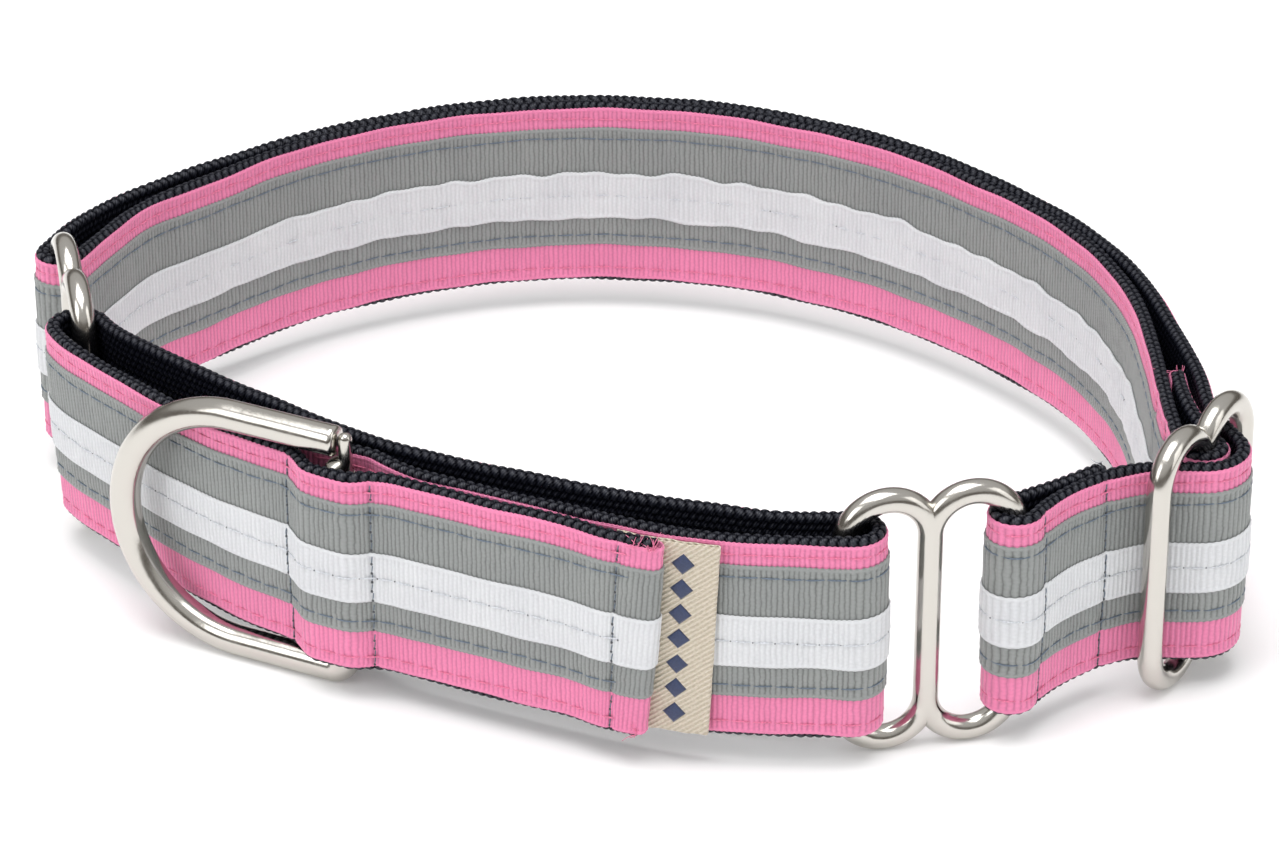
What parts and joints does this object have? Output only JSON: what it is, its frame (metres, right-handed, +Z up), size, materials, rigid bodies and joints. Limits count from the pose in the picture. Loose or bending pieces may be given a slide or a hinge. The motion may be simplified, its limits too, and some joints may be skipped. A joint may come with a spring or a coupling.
{
  "type": "martingale dog collar",
  "caption": "Martingale collar: a striped ribbon-faced neck strap and a control loop joined by metal double-loop slides, with a leash ring and folded tape label.",
  "frame": {"origin": "middle of the collar's box in plan, on the plane its slides and leash ring stand on", "axes": "+Z up along the strap's width, +X from the left slide to the adjuster, -Y towards the leash side"},
  "size_m": [0.216, 0.175, 0.05],
  "materials": {
    "black_webbing": "matte woven webbing",
    "pink_ribbon": "grosgrain, soft sheen",
    "grey_ribbon": "grosgrain, soft sheen",
    "white_ribbon": "grosgrain, soft sheen",
    "pink_thread": "twisted polyester thread",
    "grey_thread": "twisted polyester thread",
    "white_thread": "twisted polyester thread",
    "nickel": "polished nickel plate",
    "cotton_label": "cotton twill tape"
  },
  "bodies": {
    "main_right": {"main_webbing_right": "black_webbing", "main_pink_ribbon_right": "pink_ribbon", "main_grey_ribbon_right": "grey_ribbon", "main_white_ribbon_right": "white_ribbon", "main_pink_thread_right": "pink_thread", "main_grey_thread_right": "grey_thread", "main_white_thread_right": "white_thread", "front_wrap_stitching": "grey_thread", "adjuster_end_stitching": "grey_thread"},
    "main_left": {"main_webbing_left": "black_webbing", "main_pink_ribbon_left": "pink_ribbon", "main_grey_ribbon_left": "grey_ribbon", "main_white_ribbon_left": "white_ribbon", "main_pink_thread_left": "pink_thread", "main_grey_thread_left": "grey_thread", "main_white_thread_left": "white_thread"},
    "loop_right": {"loop_webbing_right": "black_webbing", "loop_pink_ribbon_right": "pink_ribbon", "loop_grey_ribbon_right": "grey_ribbon", "loop_white_ribbon_right": "white_ribbon", "loop_pink_thread_right": "pink_thread", "loop_grey_thread_right": "grey_thread", "loop_white_thread_right": "white_thread", "folded_label": "cotton_label", "ring_pocket_stitching": "grey_thread", "loop_end_stitching": "grey_thread"},
    "loop_left": {"loop_webbing_left": "black_webbing", "loop_pink_ribbon_left": "pink_ribbon", "loop_grey_ribbon_left": "grey_ribbon", "loop_white_ribbon_left": "white_ribbon", "loop_pink_thread_left": "pink_thread", "loop_grey_thread_left": "grey_thread", "loop_white_thread_left": "white_thread"},
    "left_slide": {"left_slide": "nickel"},
    "front_slide": {"front_slide": "nickel"},
    "adjuster": {"adjuster_slide": "nickel"},
    "leash_ring": {"leash_ring": "nickel"}
  },
  "joints": [
    {"name": "loop_fold", "type": "hinge", "parent": "loop_right", "child": "loop_left", "pos_m": [-0.05887, -0.03429, 0.025], "axis": [0, 0, -1], "range_deg": [0, 19]},
    {"name": "collar_tighten", "type": "hinge", "parent": "main_right", "child": "main_left", "pos_m": [-0.0048, 0.07812, 0.025], "axis": [0, 0, 1], "range_deg": [0, 2.5]},
    {"name": "left_slide_turn", "type": "hinge", "parent": "main_left", "child": "left_slide", "pos_m": [-0.10231, 0.02002, 0.025], "axis": [0, 0, -1], "range_deg": [0, 2.5]},
    {"name": "front_slide_turn", "type": "hinge", "parent": "main_right", "child": "front_slide", "pos_m": [0.06498, -0.07414, 0.025], "axis": [0, 0, 1], "range_deg": [0, 2.5]},
    {"name": "loop_turn", "type": "hinge", "parent": "front_slide", "child": "loop_right", "pos_m": [0.03642, -0.08022, 0.025], "axis": [0, 0, 1], "range_deg": [0, 3.65]},
    {"name": "leash_ring_swing", "type": "hinge", "parent": "loop_right", "child": "leash_ring", "pos_m": [-0.0478, -0.05798, 0.025], "axis": [0, 0, 1], "range_deg": [0, 160]},
    {"name": "adjuster_rock", "type": "hinge", "parent": "main_right", "child": "adjuster", "pos_m": [0.0977, -0.05248, 0.025], "axis": [0, 0, 1], "range_deg": [-2.2, 1.2]}
  ],
  "couplings": [
    {"joint": "collar_tighten", "follows": "loop_fold", "ratio": 0.1312},
    {"joint": "left_slide_turn", "follows": "loop_fold", "ratio": 0.1312},
    {"joint": "front_slide_turn", "follows": "loop_fold", "ratio": 0.1312},
    {"joint": "loop_turn", "follows": "loop_fold", "ratio": 0.1918}
  ]
}
